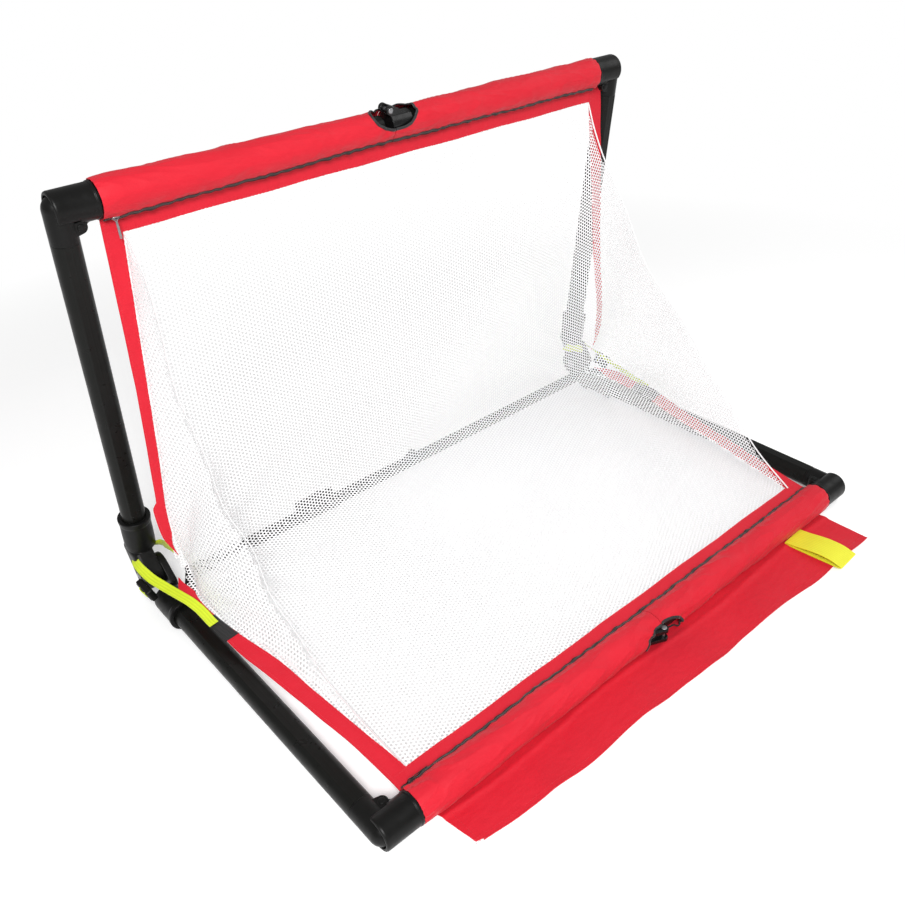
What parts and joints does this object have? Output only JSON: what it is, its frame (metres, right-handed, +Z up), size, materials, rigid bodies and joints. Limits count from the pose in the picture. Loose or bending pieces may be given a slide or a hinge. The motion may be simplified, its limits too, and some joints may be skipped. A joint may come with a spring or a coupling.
{
  "type": "folding soccer goal",
  "caption": "Low folding practice goal: two V-shaped tube sides, padded crossbar and ground bar, slim rear bar, net with side panels, apron and strap ties.",
  "frame": {"origin": "centre of the footprint, on the ground", "axes": "+X to the goal's right seen from the front, +Y to the rear, +Z up; the mouth faces -Y"},
  "size_m": [1.229, 0.8865, 0.7911],
  "materials": {
    "black_plastic": "satin black moulded plastic",
    "black_tube": "satin black extruded tube",
    "steel": "dull pins and sliders",
    "red_fabric": "coated woven cloth, bright red",
    "white_net": "white knitted mesh with a red border",
    "yellow_webbing": "ribbed webbing, yellow-green",
    "black_webbing": "black tape and webbing"
  },
  "bodies": {
    "left_lower": {"arm_lower_left": "black_tube", "knuckle_lower_left": "black_plastic", "knuckle_pin_left": "steel", "corner_eye_lower_left": "black_plastic", "corner_pin_lower_left": "steel", "rear_pin_left": "steel", "strap_left": "yellow_webbing", "strap_buckle_left": "black_webbing", "side_net_left": "white_net", "net_lower": "white_net"},
    "left_upper": {"arm_upper_left": "black_tube", "knuckle_upper_left": "black_plastic", "corner_eye_upper_left": "black_plastic", "corner_pin_upper_left": "steel", "net_upper": "white_net"},
    "ground_left": {"ground_barrel_left": "black_plastic", "ground_tube_left": "black_tube", "ground_sleeve_left": "red_fabric", "ground_zip_left": "black_webbing", "ground_knuckle_left": "black_plastic", "ground_knuckle_pin": "steel", "apron": "red_fabric"},
    "crossbar_left": {"crossbar_barrel_left": "black_plastic", "crossbar_tube_left": "black_tube", "crossbar_sleeve_left": "red_fabric", "crossbar_zip_left": "black_webbing", "crossbar_knuckle_left": "black_plastic"},
    "rear_left": {"rear_bar_left": "black_tube", "rear_lug_left": "black_plastic", "rear_bar_pin": "steel", "net_tie": "black_webbing"},
    "right_lower": {"arm_lower_right": "black_tube", "knuckle_lower_right": "black_plastic", "knuckle_pin_right": "steel", "corner_eye_lower_right": "black_plastic", "corner_pin_lower_right": "steel", "rear_pin_right": "steel", "strap_right": "yellow_webbing", "strap_buckle_right": "black_webbing", "side_net_right": "white_net"},
    "right_upper": {"arm_upper_right": "black_tube", "knuckle_upper_right": "black_plastic", "corner_eye_upper_right": "black_plastic", "corner_pin_upper_right": "steel"},
    "ground_right": {"ground_barrel_right": "black_plastic", "ground_tube_right": "black_tube", "ground_sleeve_right": "red_fabric", "ground_zip_right": "black_webbing", "ground_knuckle_right": "black_plastic", "handle_loop": "yellow_webbing"},
    "crossbar_right": {"crossbar_barrel_right": "black_plastic", "crossbar_tube_right": "black_tube", "crossbar_sleeve_right": "red_fabric", "crossbar_zip_right": "black_webbing", "crossbar_knuckle_right": "black_plastic", "crossbar_knuckle_pin": "steel"},
    "rear_right": {"rear_bar_right": "black_tube", "rear_lug_right": "black_plastic"},
    "ground_slider": {"ground_zip_slider": "steel"},
    "crossbar_slider": {"crossbar_zip_slider": "steel"}
  },
  "joints": [
    {"name": "frame_fold", "type": "hinge", "parent": "left_lower", "child": "left_upper", "pos_m": [-0.5775, 0.39034, 0.0575], "axis": [1, 0, 0], "range_deg": [0, 77], "deforming": ["strap_left", "strap_right"]},
    {"name": "right_frame_fold", "type": "hinge", "parent": "right_lower", "child": "right_upper", "pos_m": [0.5775, 0.39034, 0.0575], "axis": [1, 0, 0], "range_deg": [0, 77]},
    {"name": "side_fold", "type": "hinge", "parent": "left_lower", "child": "ground_left", "pos_m": [-0.5555, -0.27962, 0.0265], "axis": [0, 0, 1], "range_deg": [0, 86], "deforming": ["net_lower", "net_upper", "side_net_left", "side_net_right", "apron", "handle_loop", "net_tie"]},
    {"name": "ground_middle_fold", "type": "hinge", "parent": "ground_left", "child": "ground_right", "pos_m": [0, -0.33542, 0.0265], "axis": [0, 0, 1], "range_deg": [-172, 0]},
    {"name": "ground_right_corner", "type": "hinge", "parent": "ground_right", "child": "right_lower", "pos_m": [0.5555, -0.27962, 0.0265], "axis": [0, 0, 1], "range_deg": [0, 86]},
    {"name": "crossbar_left_corner", "type": "hinge", "parent": "left_upper", "child": "crossbar_left", "pos_m": [-0.5555, 0.33946, 0.72625], "axis": [0, 0.9925, 0.1219], "range_deg": [0, 86]},
    {"name": "crossbar_right_corner", "type": "hinge", "parent": "right_upper", "child": "crossbar_right", "pos_m": [0.5555, 0.33946, 0.72625], "axis": [0, 0.9925, 0.1219], "range_deg": [-86, 0]},
    {"name": "rear_left_corner", "type": "hinge", "parent": "left_lower", "child": "rear_left", "pos_m": [-0.5555, 0.28388, 0.0607], "axis": [0, 0, 1], "range_deg": [-86, 0]},
    {"name": "rear_right_corner", "type": "hinge", "parent": "right_lower", "child": "rear_right", "pos_m": [0.5555, 0.28388, 0.0607], "axis": [0, 0, 1], "range_deg": [0, 86]},
    {"name": "ground_zip", "type": "slide", "parent": "ground_left", "child": "ground_slider", "axis": [1, 0, 0], "range_m": [0, 0.485]},
    {"name": "crossbar_zip", "type": "slide", "parent": "crossbar_left", "child": "crossbar_slider", "axis": [1, 0, 0], "range_m": [0, 0.485]}
  ],
  "couplings": [
    {"joint": "right_frame_fold", "follows": "frame_fold", "ratio": 1},
    {"joint": "ground_middle_fold", "follows": "side_fold", "ratio": -2},
    {"joint": "ground_right_corner", "follows": "side_fold", "ratio": 1},
    {"joint": "crossbar_left_corner", "follows": "side_fold", "ratio": 1},
    {"joint": "crossbar_right_corner", "follows": "side_fold", "ratio": -1},
    {"joint": "rear_left_corner", "follows": "side_fold", "ratio": -1},
    {"joint": "rear_right_corner", "follows": "side_fold", "ratio": 1}
  ]
}
